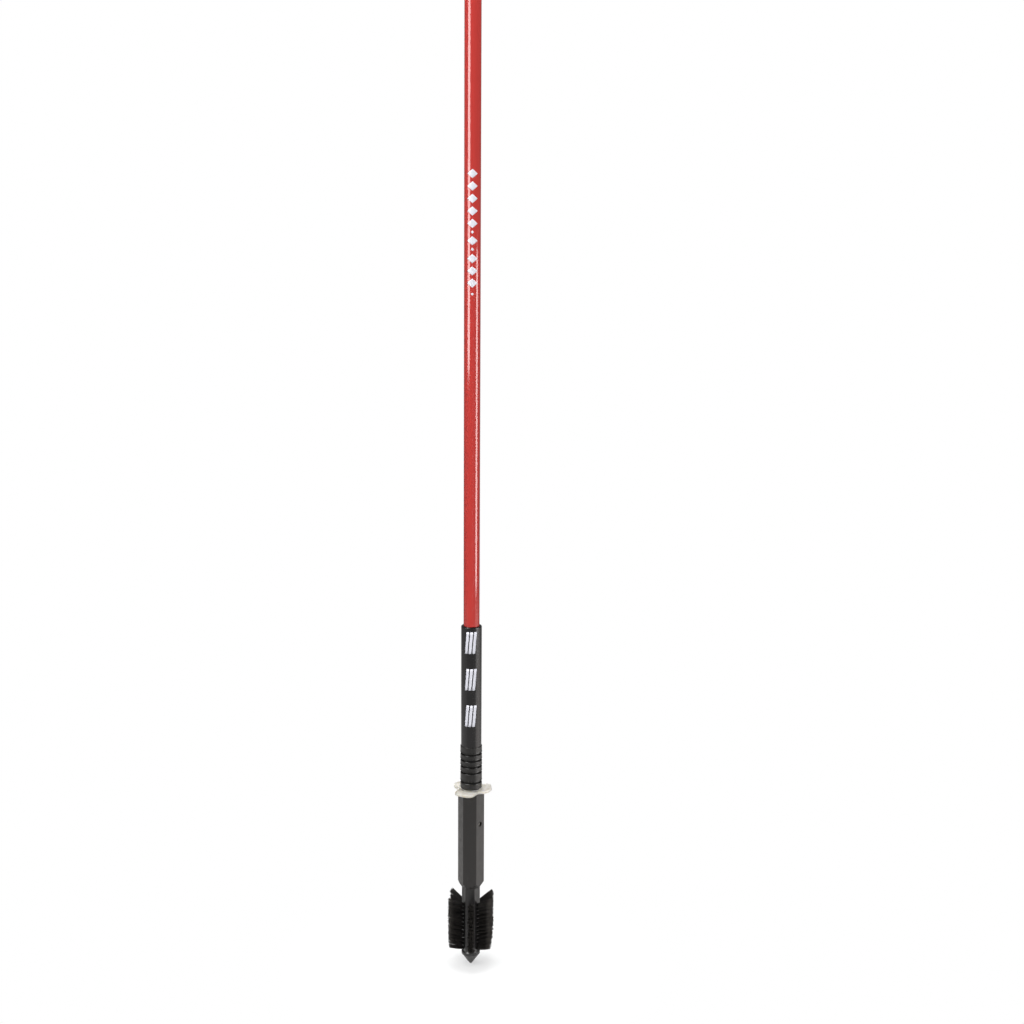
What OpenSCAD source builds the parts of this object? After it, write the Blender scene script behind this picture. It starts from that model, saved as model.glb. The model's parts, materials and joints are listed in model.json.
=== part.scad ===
// Break-away slalom gate pole: a hollow plastic shaft on a rocking-ring hinge, over a hexagonal
// ground anchor with six rows of brush tufts and a conical point.
// The origin is on the pole's axis at the anchor's top face, which sits level with the snow. +Z is up.

/* [Shaft] */
// Outside diameter of the shaft
shaft_od = 27; // [25:0.5:32]
// Wall thickness of the shaft
shaft_wall = 2.5; // [2:0.1:3.5]
// Height of the top of the shaft above the snow
shaft_top = 1826; // [1500:10:2000]
// Height of the cap's dome above the shaft
cap_h = 4; // [2:0.5:6]

/* [Sleeve] */
// Outside diameter of the impact sleeve
sleeve_od = 34.9; // [33.5:0.1:35]
// Length of the impact sleeve
sleeve_len = 210.9; // [150:0.1:300]

/* [Hinge] */
// Outside diameter of the rings between their edges
ring_od = 37; // [35.5:0.1:38]
// How far each ring's lower lip stands out
lip = 0.3; // [0:0.1:0.6]
// Radius of the edge that a ring rocks on
rock_r = 15.8; // [14.5:0.1:16]
// Height of the short rings
ring_h = 11; // [10:0.1:14]
// Height of the long lower ring
long_ring_h = 17; // [12:0.1:20]
// Height of the groove above each ring
groove_h = 2.9; // [1.5:0.1:3]
// Height of the ferrule below the sleeve
ferrule_h = 11.4; // [10:0.1:20]
// Largest tilt between neighbouring rings, in degrees
ring_tilt = 18; // [5:1:18]

/* [Tension cable] */
// Diameter of the cable
cable_d = 5; // [3:0.5:5]
// Wire diameter of the spring
spring_wire = 2.8; // [2:0.1:3]
// Number of turns in the spring
spring_turns = 12; // [8:1:14]
// Length of the spring at rest
spring_len = 91; // [80:1:110]

/* [Stop flange] */
// Thickness of the flange's plate
flange_t = 4.5; // [3:0.1:6]
// Distance from the axis to the end of each lobe
lobe_reach = 35; // [33:0.1:40]
// Width of each lobe
lobe_w = 36; // [30:0.5:38]

/* [Anchor] */
// Width of the hexagonal body across its flats
hex_af = 39.6; // [38.5:0.1:42]
// Width of the hexagonal body across its turned corners
hex_ac = 45.2; // [44:0.1:45.5]
// Height of the hexagonal body
hex_h = 174.6; // [150:0.1:220]
// Diameter of the cross pin
pin_d = 8.4; // [6:0.1:10]

/* [Brush] */
// Width of the brush core across its flats
core_af = 27.6; // [26:0.1:30]
// Width of the brush core across its turned corners
core_ac = 31.6; // [31:0.1:31.8]
// Number of tufts in each row
tufts = 12; // [8:1:12]
// Distance between tufts
tuft_pitch = 7.3; // [6.5:0.1:7.5]
// Upward slope of the tufts, in degrees
tuft_slope = 24; // [10:1:30]
// Distance from the axis to the bristles' ends
brush_r = 42.2; // [38:0.1:44]
// Thickness of a row of bristles
brush_t = 9; // [6:0.5:10]
// Radius of the round shoulder above the point
shoulder_r = 16.2; // [16:0.1:18]

/* [Hidden] */
$fn = 96;

// Clearances: between rocking faces, between pieces that turn, and between pieces that stay put
rock_gap = 0.1;
run_gap = 0.05;
slack = 0.1;

// How far a cutter reaches past the face that it opens
past = 1;

// Hinge heights
cup_low = 6.8;
cup_top = 21.6;
ring_1_z = cup_top;
ring_2_z = ring_1_z + long_ring_h;
ring_3_z = ring_2_z + ring_h;
ring_4_z = ring_3_z + ring_h;
ferrule_z = ring_4_z + ring_h;
sleeve_z = ferrule_z + ferrule_h;
sleeve_top = sleeve_z + sleeve_len;

// Hinge radii
ring_r = ring_od / 2;
lip_r = ring_r + lip;
boss_h = 3;
boss_r = 11.8;
nest_h = boss_h + 0.3;
nest_r = boss_r + 0.4;
cable_hole_r = cable_d / 2 + 2;
guide_r = cable_d / 2 + 0.7;
mouth = 3;
spigot_r = 10;
spigot_low = -28;
collar_gap = 0.35;

// Shaft: the sleeve covers its lower end, which is thinner than the rest
shaft_r = shaft_od / 2;
shaft_ir = shaft_r - shaft_wall;
sleeved_r = shaft_r - 0.5;
step_z = sleeve_top + 0.3;
stub_top = sleeve_z + 35;
seat_t = 2;
slide_gap = 0.35;
spring_z = stub_top + seat_t;
spring_r = shaft_ir - 1.2 - spring_wire / 2;
spring_gap = 0.15;
plunger_z = spring_z + spring_len;
plunger_t = 6;
nut_h = 5;
cable_low = -48;
cable_top = plunger_z + plunger_t + nut_h + 6;

// Anchor
pin_z = -56;
pin_turn = -30;
pin_recess = 3;
socket_low = -30;
cavity_r = 7.3;
cavity_low = -70;
terminal_r = 7;
terminal_z = [-68, -38];
core_spigot_r = 8;
core_spigot_h = 34;
flange_turn = 10;
hub_h = 1.1;

// Brush and point
core_low = -293;
shoulder_z = -298.5;
band_h = 3.8;
flare_h = 8;
point_z = -319.4;
nose_r = 3.2;
first_tuft_z = -206.7;
tuft_hole_r = 2.25;
tuft_depth = 5;
row_low = first_tuft_z - (tufts - 1) * tuft_pitch - 3.5;

// Points of an arc round c, from angle a0 to angle a1
function arc(c, r, a0, a1, n = 5) =
    [for (i = [0:n]) let (a = a0 + (a1 - a0) * i / n) [c[0] + r * cos(a), c[1] + r * sin(a)]];

// Width across the flats to the radius of a hexagon's corners
function corner_r(af) = af / sqrt(3);

// A hexagonal bar with one flat towards -Y and its corners turned to a diameter
module hex_bar(af, ac, low, high) {
    translate([0, 0, low])
        intersection() {
            cylinder(r = corner_r(af), h = high - low, $fn = 6);
            cylinder(d = ac, h = high - low);
        }
}

// Upper half of a hinge piece's outline, from its side to the mouth of its cable hole
function ring_top(h, edge, hole_r) = concat(
    arc([ring_r - edge, h - groove_h - edge], edge, 0, 90),
    [[rock_r, h - groove_h], [rock_r, h - rock_gap / 2], [boss_r, h - rock_gap / 2],
     [boss_r - boss_h, h + boss_h], [hole_r + mouth, h + boss_h], [hole_r, h + boss_h - mouth]]);

// Lower half of a hinge piece's outline: the conical nest for the boss below, and the lip
function ring_bottom(hole_r) = concat(
    [[hole_r, nest_h + mouth], [hole_r + mouth, nest_h], [nest_r - nest_h, nest_h],
     [nest_r - rock_gap / 2, rock_gap / 2]],
    arc([lip_r - 0.5, rock_gap / 2 + 0.5], 0.5, -90, 0, 3),
    [[ring_r, 2.4]]);

module knuckle(z, h) {
    color("dimgray")
        translate([0, 0, z])
            rotate_extrude()
                polygon(concat(ring_bottom(cable_hole_r), ring_top(h, 1.2, cable_hole_r)));
}

module knuckle_1() { knuckle(ring_1_z, long_ring_h); }
module knuckle_2() { knuckle(ring_2_z, ring_h); }
module knuckle_3() { knuckle(ring_3_z, ring_h); }
module knuckle_4() { knuckle(ring_4_z, ring_h); }

// The hinge's lowest piece, whose spigot turns in the anchor
module hinge_cup() {
    edge = 2;
    color("dimgray")
        rotate_extrude()
            polygon(concat(
                [[guide_r, spigot_low], [spigot_r, spigot_low], [spigot_r, cup_low]],
                arc([ring_r - edge, cup_low + edge], edge, -90, 0),
                ring_top(cup_top, edge, guide_r)));
}

// Carries the shaft and the sleeve, and plugs into the shaft
module ferrule() {
    h = ferrule_h;
    color("dimgray")
        translate([0, 0, ferrule_z])
            rotate_extrude()
                polygon(concat(ring_bottom(guide_r),
                    arc([ring_r - 0.6, h - 0.6], 0.6, 0, 90, 3),
                    [[shaft_ir - slack, h], [shaft_ir - slack, stub_top - ferrule_z - 1],
                     [shaft_ir - slack - 1, stub_top - ferrule_z], [guide_r, stub_top - ferrule_z]]));
}

module shaft() {
    color([0.78, 0.26, 0.24])
        rotate_extrude()
            polygon([[shaft_ir, sleeve_z], [sleeved_r, sleeve_z], [sleeved_r, step_z],
                [shaft_r, step_z], [shaft_r, shaft_top], [shaft_ir, shaft_top]]);
}

module impact_sleeve() {
    outer_edge = 1.8;
    inner_edge = 1.7;
    r = sleeve_od / 2;
    bore = sleeved_r + slack;
    color([0.16, 0.15, 0.16])
        rotate_extrude()
            polygon(concat([[bore, sleeve_z], [r, sleeve_z]],
                arc([r - outer_edge, sleeve_top - outer_edge], outer_edge, 0, 90),
                arc([bore + inner_edge, sleeve_top - inner_edge], inner_edge, 90, 180)));
}

module top_cap() {
    edge = 2.5;
    plug_h = 26;
    color([0.72, 0.22, 0.2])
        translate([0, 0, shaft_top])
            rotate_extrude()
                polygon(concat([[0, -plug_h], [shaft_ir - slack - 1, -plug_h],
                    [shaft_ir - slack, 1 - plug_h], [shaft_ir - slack, 0], [shaft_r, 0]],
                    arc([shaft_r - edge, cap_h - edge], edge, 0, 75),
                    [[0, cap_h + 0.8]]));
}

module spring_seat() {
    color("silver")
        translate([0, 0, stub_top])
            difference() {
                cylinder(r = shaft_ir - slide_gap, h = seat_t);
                translate([0, 0, -past]) cylinder(r = guide_r, h = seat_t + 2 * past);
            }
}

// Points on the circle that is swept along the spring's helix
function coil_ring(a, sides) = [for (k = [0:sides - 1])
    let (t = 360 * k / sides,
         r = spring_r + spring_wire / 2 * cos(t),
         rise = spring_len - spring_wire - 2 * spring_gap)
    [r * cos(a), r * sin(a),
     spring_z + spring_gap + spring_wire / 2 * (1 + sin(t)) + rise * a / 360 / spring_turns]];

module tension_spring() {
    sides = 6;
    steps = 16 * spring_turns;
    points = [for (i = [0:steps]) each coil_ring(360 * i / 16, sides)];
    walls = [for (i = [0:steps - 1], k = [0:sides - 1])
        let (n = (k + 1) % sides)
        [i * sides + k, i * sides + n, (i + 1) * sides + n, (i + 1) * sides + k]];
    ends = [[for (k = [sides - 1:-1:0]) k], [for (k = [0:sides - 1]) steps * sides + k]];
    color("gainsboro") polyhedron(points, concat(walls, ends));
}

// Rides on the spring and pulls the cable up
module spring_plunger() {
    skirt = 14;
    skirt_r = spring_r - spring_wire / 2 - 0.6;
    color("silver")
        difference() {
            union() {
                translate([0, 0, plunger_z]) cylinder(r = shaft_ir - slide_gap, h = plunger_t);
                translate([0, 0, plunger_z - skirt]) cylinder(r = skirt_r, h = skirt);
            }
            translate([0, 0, plunger_z - skirt - past])
                cylinder(r = cable_d / 2 + slack, h = skirt + plunger_t + 2 * past);
        }
}

module lock_nut() {
    nut_af = 10;
    color("silver")
        translate([0, 0, plunger_z + plunger_t])
            difference() {
                cylinder(r = corner_r(nut_af), h = nut_h, $fn = 6);
                translate([0, 0, -past]) cylinder(r = cable_d / 2 + slack, h = nut_h + 2 * past);
            }
}

module tension_cable() {
    color("lightgray")
        translate([0, 0, cable_low]) cylinder(d = cable_d, h = cable_top - cable_low);
}

// Places a piece that runs across the anchor, along the cross pin
module along_pin() {
    translate([0, 0, pin_z]) rotate([0, 90, pin_turn]) children();
}

module cable_terminal() {
    low = terminal_z[0];
    high = terminal_z[1];
    color("silver")
        difference() {
            translate([0, 0, low]) cylinder(r = terminal_r, h = high - low);
            translate([0, 0, cable_low]) cylinder(r = cable_d / 2 + slack / 2, h = high - low);
            along_pin() cylinder(d = pin_d + 2 * run_gap, h = 2 * terminal_r + past, center = true);
        }
}

module cross_pin() {
    length = hex_af - 2 * pin_recess;
    chamfer = 1;
    color("silver")
        along_pin()
            rotate_extrude()
                polygon([[0, -length / 2], [pin_d / 2 - chamfer, -length / 2],
                    [pin_d / 2, chamfer - length / 2], [pin_d / 2, length / 2 - chamfer],
                    [pin_d / 2 - chamfer, length / 2], [0, length / 2]]);
}

// Three wide lobes with blended notches between them
module flange_outline() {
    corner = 12;
    notch = 6;
    offset(r = -notch, $fn = 48)
        offset(r = notch + corner, $fn = 48)
            offset(delta = -corner)
                for (turn = [0:120:240])
                    rotate(flange_turn + turn)
                        translate([0, -lobe_w / 2]) square([lobe_reach, lobe_w]);
}

module stop_flange() {
    hub_r = 15.5;
    color([0.9, 0.87, 0.8, 0.7])
        difference() {
            union() {
                linear_extrude(flange_t) flange_outline();
                cylinder(r = hub_r, h = flange_t + hub_h);
            }
            translate([0, 0, -past])
                cylinder(r = spigot_r + collar_gap, h = flange_t + hub_h + 2 * past);
        }
}

module thrust_washer() {
    low = flange_t + hub_h;
    washer_r = 14.5;
    color("silver")
        translate([0, 0, low])
            difference() {
                cylinder(r = washer_r, h = cup_low - low - run_gap);
                translate([0, 0, -past]) cylinder(r = spigot_r + collar_gap, h = cup_low);
            }
}

module hex_body() {
    chamfer_h = 10.6;
    core_r = core_ac / 2;
    color([0.24, 0.23, 0.23])
        difference() {
            intersection() {
                hex_bar(hex_af, hex_ac, -hex_h, 0);
                rotate_extrude()
                    polygon([[0, -hex_h], [core_r, -hex_h], [hex_ac / 2, chamfer_h - hex_h],
                        [hex_ac / 2 + past, chamfer_h - hex_h], [hex_ac / 2 + past, 0], [0, 0]]);
            }
            translate([0, 0, socket_low]) cylinder(r = spigot_r + run_gap, h = past - socket_low);
            translate([0, 0, cavity_low]) cylinder(r = cavity_r, h = -cavity_low);
            translate([0, 0, -hex_h - past])
                cylinder(r = core_spigot_r + run_gap, h = core_spigot_h + 2 * past);
            along_pin() cylinder(d = pin_d + 2 * run_gap, h = hex_ac + past, center = true);
        }
}

// Places a tuft's hole or root: it starts below the core's face and slopes up and out
module at_tufts(row, start) {
    for (i = [0:tufts - 1])
        rotate([0, 0, row * 60 - 90])
            translate([core_af / 2, 0, first_tuft_z - i * tuft_pitch])
                rotate([0, 90 - tuft_slope, 0])
                    translate([0, 0, start]) children();
}

module brush_core() {
    side = shoulder_r;
    edge = 0.6;
    round_r = 1.2;
    flare_z = shoulder_z + flare_h;
    cone = atan((side - round_r) / (shoulder_z - point_z - nose_r));
    color([0.2, 0.2, 0.2])
        difference() {
            union() {
                translate([0, 0, -hex_h]) cylinder(r = core_spigot_r, h = core_spigot_h);
                hex_bar(core_af, core_ac, core_low, -hex_h);
                rotate_extrude()
                    polygon(concat(
                        [[0, flare_z + 2], [core_af / 2 - 3 * edge, flare_z + 2],
                         [core_af / 2 - edge, flare_z], [side - edge, shoulder_z + band_h + edge],
                         [side, shoulder_z + band_h]],
                        arc([side - round_r, shoulder_z], round_r, 0, -cone),
                        arc([0, point_z + nose_r], nose_r, -cone, -90)));
            }
            for (row = [0:5])
                at_tufts(row, -tuft_depth) cylinder(r = tuft_hole_r, h = 2 * tuft_depth);
        }
}

// One row of bristles: a slab in their outer shape, with a root in every tuft hole. The outline is
// cut back towards the lowest tuft, and its top edge rises with the upper side of the first tuft.
module brush_row(row) {
    face = core_af / 2;
    top = first_tuft_z + 2;
    color([0.09, 0.09, 0.09])
        union() {
            rotate([90, 0, row * 60 - 90])
                translate([0, 0, -brush_t / 2])
                    linear_extrude(brush_t)
                        polygon([[face, row_low], [brush_r - 4.5, row_low + 8.6],
                            [brush_r - 1.2, row_low + 14], [brush_r, row_low + 34],
                            [brush_r, top + 12], [brush_r - 1.5, top + 15.5], [face, top]]);
            at_tufts(row, 0.2 - tuft_depth) cylinder(r = tuft_hole_r - run_gap, h = tuft_depth + 1);
        }
}

top_cap();
shaft();
impact_sleeve();
ferrule();
knuckle_4();
knuckle_3();
knuckle_2();
knuckle_1();
hinge_cup();
thrust_washer();
stop_flange();
hex_body();
cross_pin();
cable_terminal();
tension_cable();
spring_seat();
tension_spring();
spring_plunger();
lock_nut();
brush_core();
brush_row(0);  // brush_row_1
brush_row(1);  // brush_row_2
brush_row(2);  // brush_row_3
brush_row(3);  // brush_row_4
brush_row(4);  // brush_row_5
brush_row(5);  // brush_row_6
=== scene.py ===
"""Break-away slalom gate pole: the visual model over its CAD frame.

The frame's unit is the metre. The origin is on the pole's axis, level with the snow, and +Z is up.
"""

import json
import math
import random

import bpy
from mathutils import Matrix, Vector


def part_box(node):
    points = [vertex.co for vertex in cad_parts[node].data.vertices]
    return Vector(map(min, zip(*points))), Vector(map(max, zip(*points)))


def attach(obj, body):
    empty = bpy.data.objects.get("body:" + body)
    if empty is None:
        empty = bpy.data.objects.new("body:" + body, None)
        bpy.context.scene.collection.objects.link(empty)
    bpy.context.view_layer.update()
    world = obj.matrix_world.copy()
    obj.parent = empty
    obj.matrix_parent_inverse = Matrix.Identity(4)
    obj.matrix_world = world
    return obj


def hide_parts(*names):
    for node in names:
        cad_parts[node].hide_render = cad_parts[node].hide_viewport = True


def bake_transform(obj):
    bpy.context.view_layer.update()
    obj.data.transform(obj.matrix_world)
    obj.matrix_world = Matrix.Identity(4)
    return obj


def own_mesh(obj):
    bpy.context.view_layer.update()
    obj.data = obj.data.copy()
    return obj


MM = 0.001

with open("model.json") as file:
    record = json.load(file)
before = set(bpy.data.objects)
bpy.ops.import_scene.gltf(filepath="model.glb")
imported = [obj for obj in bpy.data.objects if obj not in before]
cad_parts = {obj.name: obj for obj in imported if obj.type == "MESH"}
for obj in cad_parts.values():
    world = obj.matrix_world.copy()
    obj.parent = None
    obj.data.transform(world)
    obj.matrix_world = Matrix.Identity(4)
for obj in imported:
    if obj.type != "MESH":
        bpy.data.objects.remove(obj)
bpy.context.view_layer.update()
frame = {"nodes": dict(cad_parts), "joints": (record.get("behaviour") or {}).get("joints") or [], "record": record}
nodes = frame["nodes"]


def low(node):
    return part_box(node)[0]


def high(node):
    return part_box(node)[1]


# ---------------------------------------------------------------- materials


def shader_node(tree, kind, inputs=(), **settings):
    """Adds a shader node. An input that is given a socket is linked, and any other value is set."""
    made = tree.nodes.new("ShaderNode" + kind)
    for name, value in settings.items():
        setattr(made, name, value)
    for key, value in dict(inputs).items():
        if isinstance(value, bpy.types.NodeSocket):
            tree.links.new(value, made.inputs[key])
        else:
            made.inputs[key].default_value = value
    return made


def noise(tree, scale, detail=3.0, stretch=(1, 1, 1), rough=0.55):
    """A noise value in the row frame. Stretch multiplies the scale along each axis."""
    coordinates = shader_node(tree, "TexCoord").outputs["Object"]
    mapping = shader_node(tree, "Mapping", {"Vector": coordinates, "Scale": stretch})
    texture = shader_node(
        tree,
        "TexNoise",
        {"Vector": mapping.outputs[0], "Scale": scale, "Detail": detail, "Roughness": rough},
    )
    return texture.outputs["Fac"]


def remap(tree, value, from_low, from_high, to_low=0.0, to_high=1.0):
    made = shader_node(
        tree,
        "MapRange",
        {"Value": value, 1: from_low, 2: from_high, 3: to_low, 4: to_high},
        interpolation_type="SMOOTHSTEP",
    )
    return made.outputs[0]


def maths(tree, operation, a, b):
    return shader_node(tree, "Math", {0: a, 1: b}, operation=operation).outputs[0]


def mix_colour(tree, share, a, b):
    made = shader_node(
        tree, "Mix", {"Factor": share, 6: a, 7: b}, data_type="RGBA", blend_type="MIX"
    )
    return made.outputs[2]


EDGE_COSINES = (0.995, 0.86)


def edge_mask(tree, radius):
    """1 on a sharp outer edge and 0 on a flat face, from how far a bevel would turn the normal."""
    rounded = shader_node(tree, "Bevel", {"Radius": radius}, samples=6).outputs[0]
    flat = shader_node(tree, "NewGeometry").outputs["Normal"]
    alike = shader_node(tree, "VectorMath", {0: rounded, 1: flat}, operation="DOT_PRODUCT")
    return remap(tree, alike.outputs["Value"], *EDGE_COSINES)


def srgb(red, green, blue):
    """A linear colour from sRGB values of 0 to 255."""
    channels = (value / 255 for value in (red, green, blue))
    return (*(c / 12.92 if c <= 0.04045 else ((c + 0.055) / 1.055) ** 2.4 for c in channels), 1.0)


# Painted shade: the dark colour laid into the hinge's grooves, where shade falls between the rings.
GROOVE_PAINTED_SHADE = srgb(16, 15, 14)
GROOVE_SHINES = (0.2, 0.5)


def new_material(name):
    """A material's node tree and its Principled shader."""
    made = bpy.data.materials.new(name)
    made.use_nodes = True
    return made, made.node_tree, made.node_tree.nodes["Principled BSDF"]


def plastic(
    name, colour, worn, roughness, grain=0.0, grain_size=0.4 * MM, edge=0.3 * MM,
    scuffs=0.25, mottle=0.12, streaks=0.15, groove=None,
):
    """Moulded plastic: slight mottling, scuffs that run lengthwise, a fine grain, and worn edges.

    Groove is a pair of radii from the pole's axis. Inside the smaller one the colour is darkened with painted
    shade and the specular level is lowered.
    """
    made, tree, shader = new_material(name)
    patches = noise(tree, 45.0)
    shade = tuple(c * (1 - mottle) for c in colour[:3]) + (1.0,)
    base = mix_colour(tree, patches, shade, colour)
    scratches = noise(tree, 900.0, detail=2.0, stretch=(1, 1, 0.03))
    scratched = remap(tree, scratches, 0.58, 0.72)
    rubbed = maths(tree, "MULTIPLY", scratched, remap(tree, noise(tree, 28.0), 0.45, 0.7))
    base = mix_colour(tree, maths(tree, "MULTIPLY", rubbed, scuffs), base, worn)
    edges = edge_mask(tree, edge)
    edges = maths(tree, "MULTIPLY", edges, remap(tree, noise(tree, 320.0), 0.3, 0.7))
    base = mix_colour(tree, maths(tree, "MULTIPLY", edges, 0.6), base, worn)
    if groove:
        # Painted shade in the grooves: the colour darkens where the surface lies close to the axis.
        place = shader_node(tree, "TexCoord").outputs["Object"]
        level = shader_node(tree, "VectorMath", {0: place, 1: (1, 1, 0)}, operation="MULTIPLY")
        radius = shader_node(tree, "VectorMath", {0: level.outputs[0]}, operation="LENGTH")
        outside_groove_shade = remap(tree, radius.outputs["Value"], *groove)
        base = mix_colour(tree, outside_groove_shade, GROOVE_PAINTED_SHADE, base)
        shine = remap(tree, outside_groove_shade, 0.0, 1.0, *GROOVE_SHINES)
        tree.links.new(shine, shader.inputs["Specular IOR Level"])
    tree.links.new(base, shader.inputs["Base Color"])
    smears = noise(tree, 120.0, detail=4.0)
    gloss = remap(tree, smears, 0.3, 0.7, roughness * 0.85, roughness * 1.15)
    gloss = maths(tree, "ADD", gloss, maths(tree, "MULTIPLY", rubbed, streaks))
    tree.links.new(gloss, shader.inputs["Roughness"])
    rounded = shader_node(tree, "Bevel", {"Radius": edge}, samples=6)
    bump = shader_node(
        tree,
        "Bump",
        {
            "Height": noise(tree, 1 / grain_size, detail=2.0),
            "Strength": grain,
            "Distance": 0.1 * MM,
            "Normal": rounded.outputs[0],
        },
    )
    tree.links.new(bump.outputs[0], shader.inputs["Normal"])
    return made


def steel(name, colour, roughness, brushed=(1, 1, 1)):
    """Steel with brush or draw marks. Brushed multiplies the marks' fineness along each axis."""
    made, tree, shader = new_material(name)
    marks = noise(tree, 1400.0, detail=3.0, stretch=brushed)
    dull = tuple(c * 0.7 for c in colour[:3]) + (1.0,)
    tree.links.new(mix_colour(tree, marks, dull, colour), shader.inputs["Base Color"])
    gloss = remap(tree, marks, 0.3, 0.7, roughness * 0.8, roughness * 1.3)
    tree.links.new(gloss, shader.inputs["Roughness"])
    rounded = shader_node(tree, "Bevel", {"Radius": 0.25 * MM}, samples=6)
    bump = shader_node(
        tree,
        "Bump",
        {"Height": marks, "Strength": 0.15, "Distance": 0.05 * MM, "Normal": rounded.outputs[0]},
    )
    tree.links.new(bump.outputs[0], shader.inputs["Normal"])
    shader.inputs["Metallic"].default_value = 1.0
    return made


def milky_plastic(name, colour):
    """Translucent moulded plastic, cloudier in patches, with a faint flow texture."""
    made, tree, shader = new_material(name)
    cloud = remap(tree, noise(tree, 130.0, detail=4.0), 0.35, 0.65)
    shade = tuple(c * f for c, f in zip(colour, (0.82, 0.8, 0.74))) + (1.0,)
    tree.links.new(mix_colour(tree, cloud, shade, colour), shader.inputs["Base Color"])
    gloss = remap(tree, noise(tree, 160.0), 0.3, 0.7, 0.28, 0.42)
    tree.links.new(gloss, shader.inputs["Roughness"])
    flow = noise(tree, 260.0, detail=2.0)
    bump = shader_node(tree, "Bump", {"Height": flow, "Strength": 0.2, "Distance": 0.1 * MM})
    tree.links.new(bump.outputs[0], shader.inputs["Normal"])
    shader.inputs["Transmission Weight"].default_value = 0.65
    shader.inputs["Subsurface Weight"].default_value = 0.3
    shader.inputs["Subsurface Radius"].default_value = (1.0, 0.9, 0.7)
    shader.inputs["Subsurface Scale"].default_value = 4 * MM
    shader.inputs["IOR"].default_value = 1.5
    return made


def bristle_material(name):
    """Black filament whose shade is slightly different on each bristle, lighter at the tip with dust and a painted
    highlight.
    """
    made, tree, shader = new_material(name)
    shade = shader_node(tree, "Attribute", attribute_name="shade").outputs["Fac"]
    tone = maths(tree, "ADD", shade, maths(tree, "MULTIPLY", noise(tree, 500.0), 0.15))
    dark, light = srgb(12, 12, 13), srgb(70, 66, 62)
    tree.links.new(mix_colour(tree, tone, dark, light), shader.inputs["Base Color"])
    tree.links.new(remap(tree, noise(tree, 900.0), 0.3, 0.7, 0.5, 0.62), shader.inputs["Roughness"])
    shader.inputs["Specular IOR Level"].default_value = 0.2
    return made


def print_material(name):
    """White print, worn thin in specks so that the black below shows a little."""
    made, tree, shader = new_material(name)
    wear = remap(tree, noise(tree, 700.0, detail=4.0), 0.62, 0.74)
    worn = maths(tree, "MULTIPLY", wear, 0.35)
    white, grey = srgb(206, 206, 214), srgb(140, 140, 146)
    tree.links.new(mix_colour(tree, worn, white, grey), shader.inputs["Base Color"])
    gloss = remap(tree, noise(tree, 400.0), 0.3, 0.7, 0.35, 0.5)
    tree.links.new(gloss, shader.inputs["Roughness"])
    bump = shader_node(
        tree, "Bump", {"Height": noise(tree, 1500.0), "Strength": 0.1, "Distance": 0.05 * MM}
    )
    tree.links.new(bump.outputs[0], shader.inputs["Normal"])
    return made


FINISHES = {
    "shaft_plastic": plastic(
        "red_shaft", srgb(179, 53, 48), srgb(206, 100, 92), 0.09, scuffs=0.12, mottle=0.05,
        streaks=0.02,
    ),
    "sleeve_plastic": plastic(
        "black_sleeve", srgb(18, 17, 18), srgb(70, 69, 72), 0.26, scuffs=0.2, grain=0.06
    ),
    "hinge_plastic": plastic(
        "grey_hinge", srgb(22, 21, 20), srgb(92, 90, 87), 0.34, scuffs=0.25, grain=0.1,
        edge=0.5 * MM, groove=(16.0 * MM, 17.8 * MM),
    ),
    "anchor_plastic": plastic(
        "grey_anchor", srgb(31, 29, 28), srgb(90, 88, 85), 0.36, scuffs=0.3, grain=0.25,
        edge=0.6 * MM,
    ),
    "core_plastic": plastic(
        "dark_core", srgb(31, 30, 30), srgb(88, 86, 84), 0.34, scuffs=0.25, grain=0.25,
        edge=0.4 * MM,
    ),
    "flange_plastic": milky_plastic("milky_flange", srgb(250, 247, 241)),
    "bristle": bristle_material("black_bristle"),
    "plated_steel": steel("plated_steel", srgb(196, 196, 190), 0.32),
    "cable_steel": steel("cable_wire", srgb(170, 170, 170), 0.35),
    "spring_steel": steel("spring_wire", srgb(150, 150, 152), 0.28),
}
PRINT = print_material("white_print")

# ---------------------------------------------------------------- mesh helpers


def mesh_piece(name, points, faces, finish, body=None, replaces=()):
    """A smooth mesh with a finish, which rides on a body and stands for CAD nodes."""
    mesh = bpy.data.meshes.new(name)
    mesh.from_pydata([tuple(p) for p in points], [], faces)
    mesh.validate()
    mesh.polygons.foreach_set("use_smooth", [True] * len(mesh.polygons))
    mesh.materials.append(finish)
    piece = bpy.data.objects.new(name, mesh)
    bpy.context.scene.collection.objects.link(piece)
    if body:
        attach(piece, body)
    if replaces:
        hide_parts(*replaces)
    return piece


def bridge(loops, count, closed):
    """Quads between neighbouring loops of count points each."""
    quads = []
    for k in range(loops if closed else loops - 1):
        here, there = k * count, (k + 1) % loops * count
        for i in range(count):
            j = (i + 1) % count
            quads.append((here + i, here + j, there + j, there + i))
    return quads


def sweep(path, radius, sides):
    """Points and faces of a round wire along a path, with closed ends."""
    points, side = [], Vector((0, 0, 1)).cross(path[1] - path[0]).normalized()
    if side.length < 0.5:
        side = Vector((1, 0, 0))
    for i, centre in enumerate(path):
        ahead = (path[min(i + 1, len(path) - 1)] - path[max(i - 1, 0)]).normalized()
        side = (side - ahead * side.dot(ahead)).normalized()
        across = ahead.cross(side)
        for k in range(sides):
            a = 2 * math.pi * k / sides
            points.append(centre + radius * (math.cos(a) * side + math.sin(a) * across))
    faces = bridge(len(path), sides, closed=False)
    faces.append(tuple(reversed(range(sides))))
    last = (len(path) - 1) * sides
    faces.append(tuple(range(last, last + sides)))
    return points, faces


def joined(parts):
    """One list of points and one of faces from several (points, faces) pairs."""
    points, faces = [], []
    for more_points, more_faces in parts:
        start = len(points)
        points.extend(more_points)
        faces.extend(tuple(start + i for i in face) for face in more_faces)
    return points, faces


# ---------------------------------------------------------------- stop flange

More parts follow.
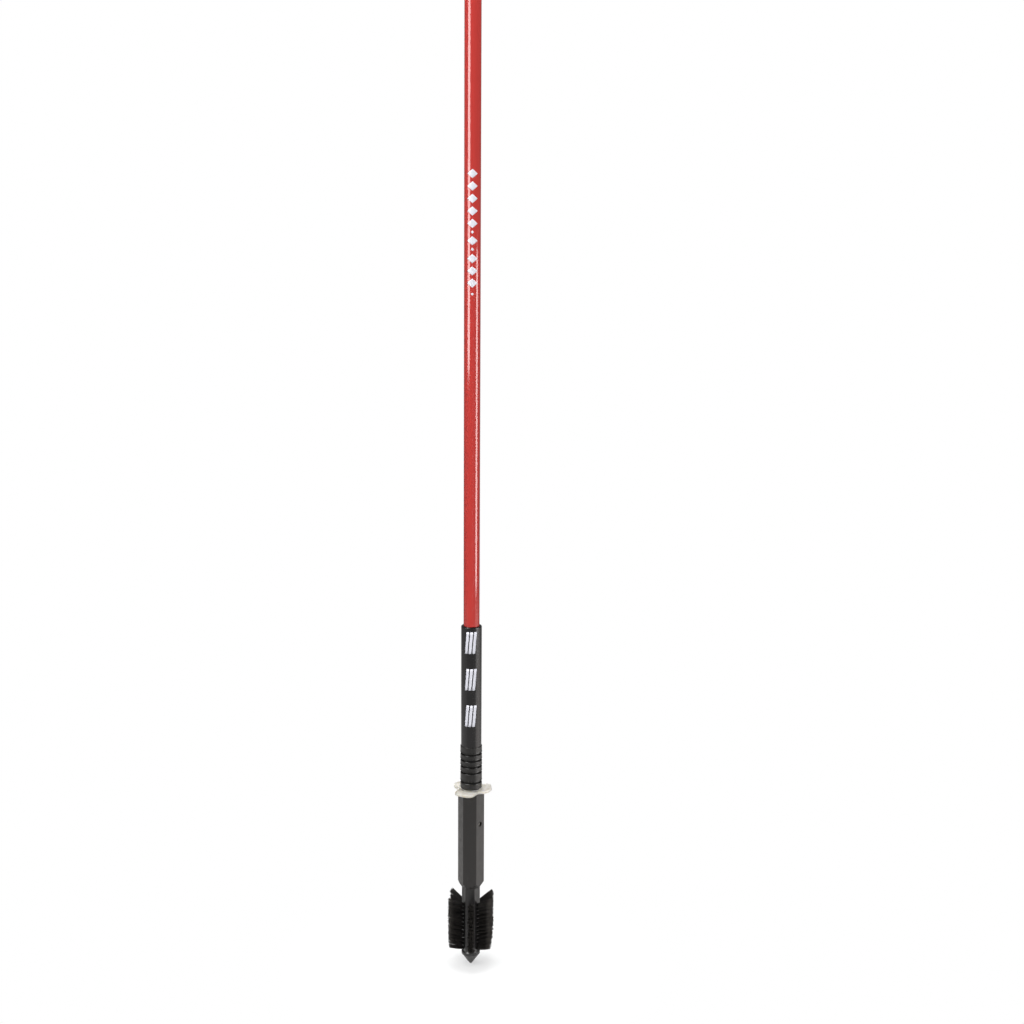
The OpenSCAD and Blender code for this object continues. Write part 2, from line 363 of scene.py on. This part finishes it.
FLANGE_TURN = math.radians(10)
LOBES = 3
LOBE_REACH = 35 * MM
LOBE_HALF_WIDTH = 18 * MM
LOBE_CORNER = 12 * MM
LOBE_LIFTS = (2.6 * MM, 2.0 * MM, 0.3 * MM)
LIFT_START = 22 * MM
LOBE_NOTCH = 6 * MM
HUB_RADIUS = 15.5 * MM
FLANGE_BORE = 10.35 * MM
FLANGE_EDGE = 1.3 * MM
RIM_STEPS = 3
HUB_HEIGHT = 1.1 * MM


def arc(x, y, radius, start, end, steps):
    """(point, outward normal) pairs along an arc, whose angles are in degrees."""
    sign = 1 if end > start else -1
    made = []
    for i in range(steps + 1):
        a = math.radians(start + (end - start) * i / steps)
        out = Vector((math.cos(a), math.sin(a)))
        made.append((Vector((x, y)) + radius * out, out * sign))
    return made


def flange_outline():
    """(point, outward normal) pairs round the three lobes, with filleted notches between them."""
    notch_y = LOBE_HALF_WIDTH + LOBE_NOTCH
    notch_x = notch_y / math.tan(math.radians(180 / LOBES))
    corner = Vector((LOBE_REACH - LOBE_CORNER, LOBE_HALF_WIDTH - LOBE_CORNER))
    lobe = (
        arc(corner.x, -corner.y, LOBE_CORNER, -90, 0, 12)
        + arc(corner.x, corner.y, LOBE_CORNER, 0, 90, 12)
        + arc(notch_x, notch_y, LOBE_NOTCH, -90, -150, 8)
    )
    outline = []
    for k in range(LOBES):
        turn = Matrix.Rotation(FLANGE_TURN + 2 * math.pi * k / LOBES, 2)
        outline += [(turn @ point, turn @ out) for point, out in lobe]
    return outline


def lifted(place, z):
    """A point of the plate, raised towards the ends of the lobes, which are a little warped."""
    share = (place.length - LIFT_START) / (LOBE_REACH - LIFT_START)
    share = min(max(share, 0.0), 1.0)
    lobe = round((place.angle_signed(Vector((1, 0))) - FLANGE_TURN) / (2 * math.pi / LOBES)) % LOBES
    return (*place, z + LOBE_LIFTS[lobe] * share * share)


def stop_flange():
    """The translucent flange, with a rounded rim, slightly warped lobes and a low hub."""
    outline = flange_outline()
    hub_top = high("stop_flange").z
    plate_top = hub_top - HUB_HEIGHT
    rings = []
    for i in range(2 * RIM_STEPS + 1):
        a = math.pi / 2 * (i / RIM_STEPS - 1)
        inset = FLANGE_EDGE * (1 - math.cos(a))
        if i < RIM_STEPS:
            z = FLANGE_EDGE * (1 + math.sin(a))
        else:
            z = plate_top - FLANGE_EDGE * (1 - math.sin(a))
        rings.append((inset, z))
    loops = [[lifted(p - out * inset, z) for p, out in outline] for inset, z in rings]
    for radius, z in (
        (HUB_RADIUS + 0.8 * MM, plate_top),
        (HUB_RADIUS + 0.2 * MM, plate_top + 0.3 * HUB_HEIGHT),
        (HUB_RADIUS, hub_top - 0.2 * MM),
        (HUB_RADIUS - 0.3 * MM, hub_top),
        (FLANGE_BORE + 0.3 * MM, hub_top),
        (FLANGE_BORE, hub_top - 0.3 * MM),
        (FLANGE_BORE, 0.3 * MM),
        (FLANGE_BORE + 0.3 * MM, 0.0),
    ):
        loops.append([(*(p.normalized() * radius), z) for p, _ in outline])
    points = [p for loop in loops for p in loop]
    faces = bridge(len(loops), len(outline), closed=True)
    mesh_piece(
        "flange", points, faces, FINISHES["flange_plastic"], "anchor",
        ["stop_flange"],
    )


# ---------------------------------------------------------------- brush rows

ROWS = 6
CORE_FACE = 13.8 * MM
TUFTS = 12
TUFT_PITCH = 7.3 * MM
FIRST_TUFT = -206.7 * MM
TUFT_RADIUS = 2.0 * MM
TUFT_SLOPE = 24.0
TUFT_SLOPE_SPREAD = 0.15
TUFT_LEAN_SPREAD = 0.3 * MM
TUFT_FAN = 5.8
FLATTER_TUFTS = 4
FLATTER_STEP = 0.3
LOW_TUFTS = 2
LOW_TUFT_HEIGHT = 1.25
ROOT_DEPTH = 3.5 * MM
FOOT_TAPERS = ((14 * MM, 0.61), (34 * MM, 0.06))
FIRST_SEED = 40
BRISTLES = 100
BRISTLE_RADIUS = 0.32 * MM
BRISTLE_STEPS = 4
BRISTLE_SIDES = 3
BRISTLE_TIP = 0.85
BRISTLE_TURN_SPREAD = 0.5
BRISTLE_REACH_SPREAD = 0.4 * MM
BRISTLE_SIDE_SPREAD = 0.25 * MM
BRISTLE_BOW_ASIDE, BRISTLE_BOW_UP, BRISTLE_SAG = 0.6, 0.4, 0.5  # millimetres
BRISTLE_THICKNESSES = (0.85, 1.1)
ROOT_SHADE = 0.5
# Tip lightening: partly dust, partly a painted highlight for the light the tips catch.
TIP_DUST_AND_HIGHLIGHTS = (0.1, 0.65)
# Painted highlight: extra lightening of the front row's tips, the row that faces the camera and the front light.
FRONT_ROW_PAINTED_HIGHLIGHT = 0.25
ROW_HALF_WIDTHS = (7.2 * MM, 5.6 * MM, 5.0 * MM, 5.6 * MM, 5.0 * MM, 5.6 * MM)
ROW_LEANS = (5.0 * MM, 1.5 * MM, 0.8 * MM, 1.2 * MM, 1.0 * MM, 1.5 * MM)


def bristle(root, tip, bend, radius):
    """A thin filament from root to tip, bowed by bend at its middle and worn at its tip."""
    path = []
    for i in range(BRISTLE_STEPS + 1):
        t = i / BRISTLE_STEPS
        path.append(root.lerp(tip, t) + bend * (4 * t * (1 - t)))
    points, faces = sweep(path, radius, BRISTLE_SIDES)
    last = path[-1]
    for k in range(-BRISTLE_SIDES, 0):
        points[k] = last + (points[k] - last) * BRISTLE_TIP
    return points, faces


def slanted(degrees):
    """The direction out of the core and up by an angle."""
    return Vector((math.cos(math.radians(degrees)), 0, math.sin(math.radians(degrees))))


def worn_off(height):
    """How much shorter a bristle is near the foot of its row, from its tip's height above that."""
    return sum(max(0.0, start - height) * share for start, share in FOOT_TAPERS)


def brush_row(row, reach):
    """One row of tufts, which fan out from their holes. The lowest ones slope a little less."""
    chance = random.Random(FIRST_SEED + row)
    foot = low("brush_row_1").z
    inward = slanted(TUFT_SLOPE)
    upward = Vector((-inward.z, 0, inward.x))
    parts, shades = [], []
    for i in range(TUFTS):
        centre = Vector((CORE_FACE, 0, FIRST_TUFT - i * TUFT_PITCH))
        flatter = FLATTER_STEP * max(0, i - (TUFTS - FLATTER_TUFTS))
        slope = TUFT_SLOPE - flatter + chance.gauss(0, TUFT_SLOPE_SPREAD)
        height_share = LOW_TUFT_HEIGHT if i >= TUFTS - LOW_TUFTS else 1.0
        lean = ROW_LEANS[row] + chance.gauss(0, TUFT_LEAN_SPREAD)
        for _ in range(BRISTLES):
            spread, around = math.sqrt(chance.random()), chance.uniform(0, 2 * math.pi)
            side, rise = spread * math.cos(around), spread * math.sin(around)
            turn = slope + rise * TUFT_FAN + chance.gauss(0, BRISTLE_TURN_SPREAD)
            height = centre.z - foot + (reach - CORE_FACE) * math.tan(math.radians(turn))
            reached = reach - abs(chance.gauss(0, BRISTLE_REACH_SPREAD)) - worn_off(height)
            offset = TUFT_RADIUS * (side * Vector((0, 1, 0)) + rise * height_share * upward)
            root = centre + offset - ROOT_DEPTH * inward
            length = (reached - CORE_FACE) / math.cos(math.radians(turn))
            tip = centre + offset + slanted(turn) * length
            tip.y = side * ROW_HALF_WIDTHS[row] + lean + chance.gauss(0, BRISTLE_SIDE_SPREAD)
            bow_up = BRISTLE_BOW_UP * rise - chance.uniform(0.0, BRISTLE_SAG)
            bend = Vector((0, BRISTLE_BOW_ASIDE * side, bow_up)) * MM
            radius = BRISTLE_RADIUS * chance.uniform(*BRISTLE_THICKNESSES)
            parts.append(bristle(root, tip, bend, radius))
            shade = ROOT_SHADE * chance.random() ** 2
            # Tips are lighter with dust and a painted highlight, and the front row's tips get more painted
            # highlight.
            tip_dust_and_highlight = shade + chance.uniform(*TIP_DUST_AND_HIGHLIGHTS) + (FRONT_ROW_PAINTED_HIGHLIGHT if row == 0 else 0)
            shades += [shade] * (BRISTLE_SIDES * BRISTLE_STEPS) + [tip_dust_and_highlight] * BRISTLE_SIDES
    points, faces = joined(parts)
    turn = Matrix.Rotation(math.radians(360 / ROWS * row - 90), 3, "Z")
    name = f"bristles_{row + 1}"
    piece = mesh_piece(
        name, [turn @ p for p in points], faces, FINISHES["bristle"], "anchor",
        [f"brush_row_{row + 1}"],
    )
    attribute = piece.data.attributes.new("shade", "FLOAT", "POINT")
    attribute.data.foreach_set("value", shades)


# ---------------------------------------------------------------- cable and spring

STRANDS = 6
STRAND_LAY = 34 * MM
STRAND_STEP = 1.6 * MM
STRAND_OVERLAP = 1.02
STRAND_SIDES = 7
JOINT_PLANES = (
    ("hinge_base", "ring_1"),
    ("ring_1", "ring_2"),
    ("ring_2", "ring_3"),
    ("ring_3", "ring_4"),
    ("ring_4", "pole"),
)


def cable_mesh(bottom, top):
    """Points and faces of a stranded wire rope between two heights."""
    cable_radius = high("tension_cable").x
    strand = cable_radius / 3
    steps = max(8, round((top - bottom) / STRAND_STEP))
    parts = []
    for k in range(STRANDS + 1):
        ring = 0.0 if k == STRANDS else cable_radius - strand
        path = []
        for i in range(steps + 1):
            z = bottom + (top - bottom) * i / steps
            a = 2 * math.pi * (z / STRAND_LAY + k / STRANDS)
            path.append(Vector((ring * math.cos(a), ring * math.sin(a), z)))
        parts.append(sweep(path, strand * STRAND_OVERLAP, STRAND_SIDES))
    return joined(parts)


def tension_cable():
    """The wire rope, split halfway along each ring into lengths that each span one joint."""
    finish, slot = FINISHES["cable_steel"], "cable_steel"
    bottom, top = low("tension_cable").z, high("tension_cable").z
    swivel = low("hinge_cup").z
    heights = {j["child"]: j["pos_m"][2] for j in frame["joints"] if j["type"] == "hinge"}
    planes = [heights[child] for _, child in JOINT_PLANES]
    ends = [swivel] + [(a + b) / 2 for a, b in zip(planes, planes[1:])]
    ends.append(planes[-1] + (planes[-1] - planes[-2]))
    points, faces = cable_mesh(bottom, ends[0])
    mesh_piece("cable_low", points, faces, finish, "anchor", ["tension_cable"])
    for k, (parent, child) in enumerate(JOINT_PLANES):
        points, faces = cable_mesh(ends[k], ends[k + 1])
        piece = mesh_piece(f"cable_bend_{k + 1}", points, faces, finish, None)
        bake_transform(piece)
    points, faces = cable_mesh(ends[-1], top)
    piece = mesh_piece("cable_top", points, faces, finish, None)
    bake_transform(piece)


SPRING_WIRE = 2.8 * MM
SPRING_TURNS = 12
DEAD_TURNS = 1.0
DEAD_PITCH = 1.03 * SPRING_WIRE
SPRING_STEPS = 32
SPRING_SIDES = 12


def tension_spring():
    """The compression spring, with its end turns closed up."""
    bottom, top = low("tension_spring").z, high("tension_spring").z
    coil = high("tension_spring").x - SPRING_WIRE / 2
    first, last = bottom + SPRING_WIRE / 2, top - SPRING_WIRE / 2
    live_turns = SPRING_TURNS - 2 * DEAD_TURNS
    live_pitch = (last - first - 2 * DEAD_TURNS * DEAD_PITCH) / live_turns
    steps = SPRING_TURNS * SPRING_STEPS
    path = []
    for i in range(steps + 1):
        turn = SPRING_TURNS * i / steps
        live = min(max(turn - DEAD_TURNS, 0.0), live_turns)
        dead = turn - live
        z = first + dead * DEAD_PITCH + live * live_pitch
        a = 2 * math.pi * turn
        path.append(Vector((coil * math.cos(a), coil * math.sin(a), z)))
    points, faces = sweep(path, SPRING_WIRE / 2, SPRING_SIDES)
    piece = mesh_piece(
        "spring", points, faces, FINISHES["spring_steel"], "pole",
        ["tension_spring"],
    )
    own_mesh(piece)


# ---------------------------------------------------------------- printed marks

PRINT_THICKNESS = 0.08 * MM
PRINT_FACING = math.radians(6 - 90)  # nearly towards -Y
SLEEVE_BLOCKS = 3
SLEEVE_BLOCK_TOP = 267.5 * MM
SLEEVE_BLOCK_PITCH = 64 * MM
SLEEVE_BLOCK_HEIGHT = 37.5 * MM
SLEEVE_BLOCK_ASIDE = -1.0 * MM
SLEEVE_BARS = 3
SLEEVE_BAR_PITCH = 6.6 * MM
SLEEVE_BAR_HALF_WIDTH = 2.4 * MM
SLEEVE_BAR_SLANT = 1.6 * MM
SHAFT_MARK_TOP = 1035.5 * MM
SHAFT_MARK_PITCH = 19.4 * MM
LARGE_MARKS = (0, 1, 2, 3, 4, 5.4, 6.85, 7.85, 8.85)
SMALL_MARKS = (4.7, 6.1, 9.75)
LARGE_MARK_SIDE = (4.4 * MM, 3.6 * MM)
SMALL_MARK_SIDE = (1.3 * MM, 1.3 * MM)


def printed_patch(radius, centre, along, across, steps=8):
    """A thin closed patch on a cylinder. The vectors are (distance round the cylinder, height)."""
    points = []
    for r in (radius + PRINT_THICKNESS, radius - PRINT_THICKNESS):
        for i in range(steps + 1):
            for j in range(steps + 1):
                s, t = 2 * i / steps - 1, 2 * j / steps - 1
                round_by = centre[0] + s * along[0] + t * across[0]
                a = PRINT_FACING + round_by / radius
                z = centre[1] + s * along[1] + t * across[1]
                points.append((r * math.cos(a), r * math.sin(a), z))
    wide = steps + 1
    under = wide * wide
    faces = []
    for i in range(steps):
        for j in range(steps):
            a, b = i * wide + j, (i + 1) * wide + j
            faces.append((a, b, b + 1, a + 1))
            faces.append((under + a, under + a + 1, under + b + 1, under + b))
    rim = list(range(wide))
    rim += [i * wide + steps for i in range(1, wide)]
    rim += [steps * wide + j for j in range(steps - 1, -1, -1)]
    rim += [i * wide for i in range(steps - 1, 0, -1)]
    for a, b in zip(rim, rim[1:] + rim[:1]):
        faces.append((a, b, under + b, under + a))
    if along[0] * across[1] - along[1] * across[0] < 0:
        faces = [tuple(reversed(face)) for face in faces]
    return points, faces


def sleeve_marks():
    """Three blocks of slanted bars down the sleeve."""
    radius = high("impact_sleeve").x
    parts = []
    for k in range(SLEEVE_BLOCKS):
        z = SLEEVE_BLOCK_TOP - k * SLEEVE_BLOCK_PITCH
        for i in range(SLEEVE_BARS):
            aside = (i - (SLEEVE_BARS - 1) / 2) * SLEEVE_BAR_PITCH + SLEEVE_BLOCK_ASIDE
            along, across = (SLEEVE_BAR_HALF_WIDTH, 0), (SLEEVE_BAR_SLANT, SLEEVE_BLOCK_HEIGHT / 2)
            parts.append(printed_patch(radius, (aside, z), along, across))
    points, faces = joined(parts)
    mesh_piece("sleeve_marks", points, faces, PRINT, "pole")


def shaft_marks():
    """A column of diamonds down the shaft, with small ones in its gaps."""
    radius = high("shaft").x
    parts = []
    kinds = ((LARGE_MARKS, LARGE_MARK_SIDE, 8), (SMALL_MARKS, SMALL_MARK_SIDE, 4))
    for marks, (wide, tall), steps in kinds:
        for k in marks:
            z = SHAFT_MARK_TOP - k * SHAFT_MARK_PITCH
            parts.append(printed_patch(radius, (0, z), (wide, tall), (-wide, tall), steps))
    points, faces = joined(parts)
    mesh_piece("shaft_marks", points, faces, PRINT, "pole")


# ---------------------------------------------------------------- the object

SLOT_OF = {part["node"]: part["material_slot"] for part in frame["record"]["subparts"]}
for node_name, cad_object in nodes.items():
    cad_object.data.materials.clear()
    cad_object.data.materials.append(FINISHES[SLOT_OF[node_name]])

stop_flange()
for row_number in range(ROWS):
    brush_row(row_number, high("brush_row_4").y)
tension_cable()
tension_spring()
sleeve_marks()
shaft_marks()

# ---------------------------------------------------------------- camera

CAMERA_AZIMUTH = math.radians(6.6)
CAMERA_DISTANCE = 2.327
CAMERA_HEIGHT = 0.9079
CAMERA_PITCH = math.radians(10.22)
CAMERA_ASIDE = math.radians(1.645)
CAMERA_ROLL = -0.0075


def place_camera():
    """The photograph's view: a little above the pole's middle, looking down past its right side."""
    data = bpy.data.cameras.new("camera")
    data.lens = 50
    data.sensor_width = 36
    data.clip_start, data.clip_end = 0.05, 50
    camera = bpy.data.objects.new("camera", data)
    bpy.context.scene.collection.objects.link(camera)
    place = Vector(
        (
            CAMERA_DISTANCE * math.sin(CAMERA_AZIMUTH),
            -CAMERA_DISTANCE * math.cos(CAMERA_AZIMUTH),
            CAMERA_HEIGHT,
        )
    )
    heading = CAMERA_AZIMUTH - CAMERA_ASIDE
    level = Vector((-math.sin(heading), math.cos(heading), 0))
    right = Vector((level.y, -level.x, 0))
    ahead = level * math.cos(CAMERA_PITCH) - Vector((0, 0, math.sin(CAMERA_PITCH)))
    up = right.cross(ahead)
    turned_right = right * math.cos(CAMERA_ROLL) - up * math.sin(CAMERA_ROLL)
    turned_up = right * math.sin(CAMERA_ROLL) + up * math.cos(CAMERA_ROLL)
    turn = Matrix((turned_right, turned_up, -ahead)).transposed()
    camera.matrix_world = Matrix.Translation(place) @ turn.to_4x4()
    bpy.context.scene.camera = camera


# ---------------------------------------------------------------- stage and lights

FLOOR_Z = low("brush_core").z
AMBIENT = 0.22
GROUND_BRIGHTNESS = 0.95
GROUND_STARTS = (-0.42, -0.2)
MIRRORED = {"diffuse": False}
UNMIRRORED = {"glossy": False}
LIGHTS = (
    # name, degrees to the camera's right, distance, bottom, top, width, watts, settings
    ("left_strip", -50, 1.5, 0.6, 2.3, 0.85, 52, MIRRORED),
    ("right_strip", 68, 1.5, 0.0, 0.92, 0.7, 21, MIRRORED),
    ("right_low", 80, 1.5, -1.0, -0.05, 1.6, 6.0, MIRRORED | {"colour": (1, 0.92, 0.88)}),
    ("left_low", -80, 1.5, -1.0, -0.05, 1.6, 1.2, MIRRORED),
    ("left_fill", -70, 1.6, 0.1, 2.0, 0.6, 20, UNMIRRORED),
    ("front_fill", 20, 2.6, -0.5, 1.1, 1.4, 62, UNMIRRORED),
)
TOP_LIGHT_HEIGHT = 2.8
FLOOR_RADIUS = 0.8
FLOOR_FADE = (0.02, 0.35)
FLOOR_OPACITY = 0.5


def area_light(
    name, azimuth, distance, bottom, top, width, watts, glossy=True, diffuse=True, colour=(1, 1, 1)
):
    """An upright rectangular light that faces the pole."""
    data = bpy.data.lights.new(name, "AREA")
    data.shape = "RECTANGLE"
    data.size, data.size_y = width, top - bottom
    data.energy = watts
    data.color = colour
    light = bpy.data.objects.new(name, data)
    bpy.context.scene.collection.objects.link(light)
    a = math.radians(azimuth)
    out = Vector((math.sin(a), -math.cos(a), 0))
    light.location = out * distance + Vector((0, 0, (bottom + top) / 2))
    light.rotation_mode = "QUATERNION"
    light.rotation_quaternion = (-out).to_track_quat("-Z", "Y")
    light.visible_glossy = glossy
    light.visible_diffuse = diffuse
    return light


def light_scene():
    """Mirrored strips for the highlights, and unmirrored fills for the colours."""
    azimuth = math.degrees(CAMERA_AZIMUTH)
    for name, turn, *sizes, settings in LIGHTS:
        area_light(name, azimuth + turn, *sizes, **settings)
    top = area_light("top_fill", 0, 0, 2.6, 4.0, 1.4, 100, glossy=False)
    top.rotation_quaternion = (1, 0, 0, 0)
    top.location.z = TOP_LIGHT_HEIGHT


def stage():
    """A pale floor that fades into a white backdrop."""
    mesh = bpy.data.meshes.new("floor")
    count = 96
    angles = [2 * math.pi * i / count for i in range(count)]
    rim = [(FLOOR_RADIUS * math.cos(a), FLOOR_RADIUS * math.sin(a), 0) for a in angles]
    mesh.from_pydata(rim, [], [tuple(range(count))])
    made, tree, shader = new_material("pale_floor")
    shader.inputs["Base Color"].default_value = (0.93, 0.93, 0.93, 1)
    shader.inputs["Roughness"].default_value = 0.9
    shader.inputs["Specular IOR Level"].default_value = 0.1
    place = shader_node(tree, "TexCoord").outputs["Object"]
    distance = shader_node(tree, "VectorMath", {0: place}, operation="LENGTH").outputs["Value"]
    tree.links.new(remap(tree, distance, *FLOOR_FADE, FLOOR_OPACITY, 0.0), shader.inputs["Alpha"])
    mesh.materials.append(made)
    floor = bpy.data.objects.new("floor", mesh)
    floor.location.z = FLOOR_Z
    bpy.context.scene.collection.objects.link(floor)

    world = bpy.data.worlds.new("studio")
    world.use_nodes = True
    tree = world.node_tree
    output = tree.nodes["World Output"]
    seen = tree.nodes["Background"]
    seen.inputs["Color"].default_value = (1, 1, 1, 1)
    room = (0.75, 0.78, 0.8, 1)
    ambient = shader_node(tree, "Background", {"Color": room, "Strength": AMBIENT})
    upward = shader_node(tree, "TexCoord").outputs["Generated"]
    height = shader_node(tree, "SeparateXYZ", {0: upward}).outputs["Z"]
    ground = remap(tree, height, *GROUND_STARTS, GROUND_BRIGHTNESS, AMBIENT)
    mirrored = shader_node(tree, "Background", {"Color": (1, 0.98, 0.96, 1), "Strength": ground})
    rays = shader_node(tree, "LightPath").outputs
    direct = maths(tree, "MAXIMUM", rays["Is Camera Ray"], rays["Is Transmission Ray"])
    unseen = shader_node(
        tree, "MixShader", {0: rays["Is Glossy Ray"], 1: ambient.outputs[0], 2: mirrored.outputs[0]}
    )
    mixed = shader_node(tree, "MixShader", {0: direct, 1: unseen.outputs[0], 2: seen.outputs[0]})
    tree.links.new(mixed.outputs[0], output.inputs["Surface"])
    bpy.context.scene.world = world
    bpy.context.scene.view_settings.view_transform = "Standard"


stage()
light_scene()
place_camera()
